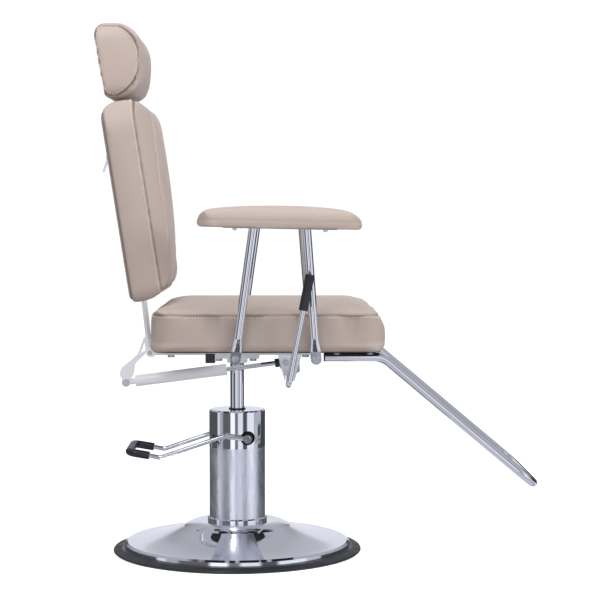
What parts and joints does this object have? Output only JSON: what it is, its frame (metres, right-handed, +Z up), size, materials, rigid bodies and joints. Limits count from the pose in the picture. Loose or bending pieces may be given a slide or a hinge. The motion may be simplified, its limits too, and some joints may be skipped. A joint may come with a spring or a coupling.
{
  "type": "barber chair",
  "caption": "Hydraulic barber chair: round pedestal with foot pump, swivel seat, tube armrests, fixed footrest, reclining back and sliding headrest.",
  "frame": {"origin": "on the floor, on the axis of the column", "axes": "+X the way the sitter faces, +Y the sitter's left, +Z up along the column"},
  "size_m": [0.9498, 0.646, 1.158],
  "materials": {
    "upholstery": "grained matte vinyl over foam",
    "chrome": "polished",
    "brushed_steel": "turned and brushed",
    "white_paint": "gloss powder coat",
    "black_rubber": "matte",
    "black_plastic": "matte",
    "black_cloth": "non-woven",
    "plain_steel": "zinc plated",
    "cast_iron": "as cast",
    "bronze": "turned",
    "plywood": "raw"
  },
  "bodies": {
    "base": {"base_dish": "chrome", "base_ring": "black_rubber", "pump_flange": "chrome", "base_bolts": "plain_steel", "pump_sleeve": "brushed_steel", "pump_collar": "chrome", "pump_body": "cast_iron", "pump_cylinder": "plain_steel", "pump_gland": "plain_steel", "rod_wiper": "black_rubber"},
    "pedal": {"pedal_bar": "chrome", "pedal_grip": "black_rubber", "pedal_shaft": "plain_steel", "pedal_screws": "chrome"},
    "plunger": {"pump_plunger": "plain_steel", "plunger_spring": "plain_steel"},
    "piston": {"piston_rod": "chrome", "piston_head": "plain_steel", "swivel_bearing": "bronze"},
    "seat": {"seat_hub": "white_paint", "mount_plate": "white_paint", "frame_rails": "white_paint", "cross_tubes": "white_paint", "tube_end_caps": "black_plastic", "seat_bolts": "plain_steel", "hinge_bracket": "white_paint", "hinge_pin": "plain_steel", "gas_bracket": "white_paint", "gas_front_pin": "plain_steel", "seat_board": "plywood", "dust_cover": "black_cloth", "seat_cushion": "upholstery", "right_arm_pad": "upholstery", "left_arm_pad": "upholstery", "arm_rear_legs": "chrome", "arm_front_legs": "chrome", "arm_strips": "plain_steel", "arm_bolts": "plain_steel", "arm_screws": "chrome", "footrest_tube": "chrome", "footrest_plate": "chrome", "footrest_plugs": "black_plastic", "footrest_bolts": "chrome"},
    "lever": {"lever_bar": "chrome", "lever_grip": "black_rubber"},
    "back": {"back_strap": "white_paint", "back_crank": "white_paint", "gas_rear_pin": "chrome", "back_board": "plywood", "headrest_guide": "plain_steel", "back_cushion": "upholstery", "latch_housing": "chrome"},
    "headrest": {"headrest_bar": "brushed_steel", "headrest_pad": "upholstery"},
    "latch": {"latch_lever": "chrome"},
    "gas_tube": {"gas_cylinder": "white_paint"},
    "gas_piston": {"gas_rod": "chrome", "gas_lock_nut": "black_plastic", "release_head": "plain_steel"},
    "release": {"release_pin": "plain_steel"}
  },
  "joints": [
    {"name": "lift", "type": "slide", "parent": "base", "child": "piston", "axis": [0, 0, 1], "range_m": [-0.05, 0.1]},
    {"name": "swivel", "type": "hinge", "parent": "piston", "child": "seat", "pos_m": [0, 0, 0.43], "axis": [0, 0, 1], "continuous": true},
    {"name": "pedal", "type": "hinge", "parent": "base", "child": "pedal", "pos_m": [0.024, 0, 0.256], "axis": [0, -1, 0], "range_deg": [-8, 18], "stiffness_Nm_per_rad": 20, "springref_deg": -2.86},
    {"name": "pump_stroke", "type": "slide", "parent": "base", "child": "plunger", "axis": [0, 0, -1], "range_m": [-0.0036, 0.0078], "deforming": ["plunger_spring"]},
    {"name": "recline", "type": "hinge", "parent": "seat", "child": "back", "pos_m": [-0.189, 0, 0.444], "axis": [0, -1, 0], "range_deg": [0, 50]},
    {"name": "gas_swing", "type": "hinge", "parent": "back", "child": "gas_tube", "pos_m": [-0.2438, -0.028, 0.3774], "axis": [0, -1, 0], "range_deg": [-44.2, 0]},
    {"name": "gas_extend", "type": "slide", "parent": "gas_tube", "child": "gas_piston", "axis": [0.9921, 0, 0.1253], "range_m": [-0.0662, 0]},
    {"name": "recline_lever", "type": "hinge", "parent": "seat", "child": "lever", "pos_m": [0.112, -0.305, 0.396], "axis": [0, -1, 0], "range_deg": [0, 8], "stiffness_Nm_per_rad": 6, "springref_deg": -8.59},
    {"name": "release_press", "type": "slide", "parent": "gas_piston", "child": "release", "axis": [0.9921, 0, 0.1253], "range_m": [-0.0019, 0]},
    {"name": "headrest_height", "type": "slide", "parent": "back", "child": "headrest", "axis": [-0.153, 0, 0.9882], "range_m": [0, 0.1]},
    {"name": "headrest_latch", "type": "hinge", "parent": "back", "child": "latch", "pos_m": [-0.28131, 0, 0.86982], "axis": [0, 1, 0], "range_deg": [0, 20], "stiffness_Nm_per_rad": 0.3, "springref_deg": -17.19}
  ],
  "couplings": [
    {"joint": "pump_stroke", "follows": "pedal", "m_per_rad": 0.024},
    {"joint": "gas_swing", "follows": "recline", "ratio": -0.88},
    {"joint": "gas_extend", "follows": "recline", "m_per_rad": -0.0755},
    {"joint": "release_press", "follows": "recline_lever", "m_per_rad": -0.012892}
  ]
}
